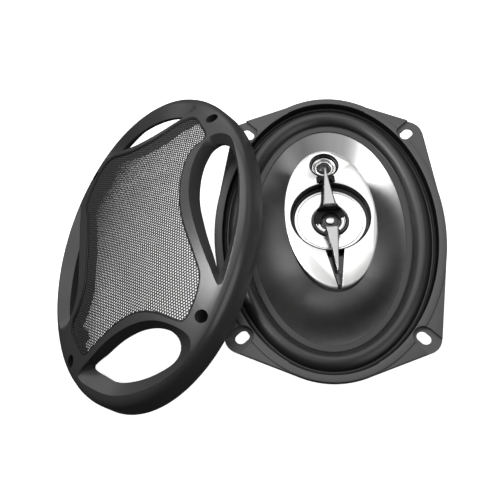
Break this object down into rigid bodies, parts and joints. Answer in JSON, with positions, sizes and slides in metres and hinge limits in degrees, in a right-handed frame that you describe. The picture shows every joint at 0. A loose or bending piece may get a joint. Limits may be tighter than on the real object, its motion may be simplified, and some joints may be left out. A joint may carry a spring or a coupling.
{
  "type": "coaxial car speaker",
  "caption": "Oval coaxial car speaker lying on its magnet with its removable grille leaning on one side; woofer cone, centre tweeter pod, pressed basket and slotted mounting ears.",
  "frame": {"origin": "centre of the magnet's back face, on the speaker's axis", "axes": "+Z along the speaker's axis out of the cone, +Y along the long axis of the oval, +X along the short axis, away from the leaning grille"},
  "size_m": [0.2911, 0.255, 0.1248],
  "materials": {
    "zinc_steel": "zinc plated, satin",
    "ferrite": "dull black sintered ceramic",
    "black_steel": "satin black paint over pressed steel",
    "former_film": "amber heat-resistant film",
    "copper_wire": "enamelled copper wire",
    "spider_cloth": "yellow phenolic cloth",
    "metallised_cone": "dark metallised polypropylene, brushed round the oval",
    "surround_rubber": "matt black rubber",
    "fibre_board": "brown fibre board",
    "brass": "bright",
    "tinsel_braid": "braided copper tinsel",
    "capacitor_sleeve": "blue shrink sleeve",
    "black_plastic": "black moulded plastic",
    "chrome": "vacuum-metallised, mirror bright",
    "satin_silver": "satin silver with bright chamfers",
    "dome_film": "dark coated film",
    "charcoal_plastic": "satin charcoal moulded plastic",
    "grille_wire": "silver-grey expanded steel mesh"
  },
  "bodies": {
    "speaker": {"back_plate_and_pole": "zinc_steel", "magnet_ring": "ferrite", "top_plate": "zinc_steel", "basket": "black_steel", "basket_rivet_1": "zinc_steel", "basket_rivet_2": "zinc_steel", "basket_rivet_3": "zinc_steel", "basket_rivet_4": "zinc_steel", "spider": "spider_cloth", "rubber_surround": "surround_rubber", "gasket_ring": "surround_rubber", "terminal_board": "fibre_board", "terminal_positive": "brass", "terminal_negative": "brass", "terminal_positive_rivet": "zinc_steel", "terminal_negative_rivet": "zinc_steel", "tinsel_lead_positive": "tinsel_braid", "tinsel_lead_negative": "tinsel_braid", "crossover_capacitor": "capacitor_sleeve", "pod_housing": "black_plastic", "pod_face_plate": "chrome", "pod_tip_wedge": "satin_silver", "pod_neck_bracket": "black_plastic", "pod_post": "zinc_steel", "midrange_magnet": "zinc_steel", "midrange_surround": "surround_rubber", "tweeter_hub": "black_plastic", "tweeter_ring": "chrome", "small_tweeter_cup": "black_plastic", "small_tweeter_ring": "chrome", "small_tweeter_inner_ring": "chrome", "upper_pointer": "satin_silver", "lower_pointer": "satin_silver"},
    "woofer": {"woofer_cone": "metallised_cone", "voice_coil_former": "former_film", "voice_coil": "copper_wire"},
    "midrange": {"midrange_dish": "chrome", "midrange_voice_coil": "copper_wire"},
    "tweeter": {"tweeter_dome": "satin_silver"},
    "small_tweeter": {"small_tweeter_dome": "dome_film"},
    "grille": {"grille_frame": "charcoal_plastic", "grille_mesh": "grille_wire"}
  },
  "joints": [
    {"name": "cone_excursion", "type": "slide", "parent": "speaker", "child": "woofer", "axis": [0, 0, 1], "range_m": [-0.005, 0.005], "stiffness_N_per_m": 1500, "deforming": ["rubber_surround", "spider", "tinsel_lead_positive", "tinsel_lead_negative"]},
    {"name": "midrange_excursion", "type": "slide", "parent": "speaker", "child": "midrange", "axis": [0, 0, 1], "range_m": [-0.0005, 0.0005], "stiffness_N_per_m": 400, "deforming": ["midrange_surround"]},
    {"name": "tweeter_excursion", "type": "slide", "parent": "speaker", "child": "tweeter", "axis": [0, 0, 1], "range_m": [-0.0002, 0.0002], "stiffness_N_per_m": 60},
    {"name": "small_tweeter_excursion", "type": "slide", "parent": "speaker", "child": "small_tweeter", "axis": [0, 0, 1], "range_m": [-0.0002, 0.0002], "stiffness_N_per_m": 40},
    {"name": "grille_swing", "type": "hinge", "parent": "speaker", "child": "grille", "pos_m": [-0.01041, 0, -0.11744], "axis": [0, 1, 0], "range_deg": [0, 36]}
  ]
}
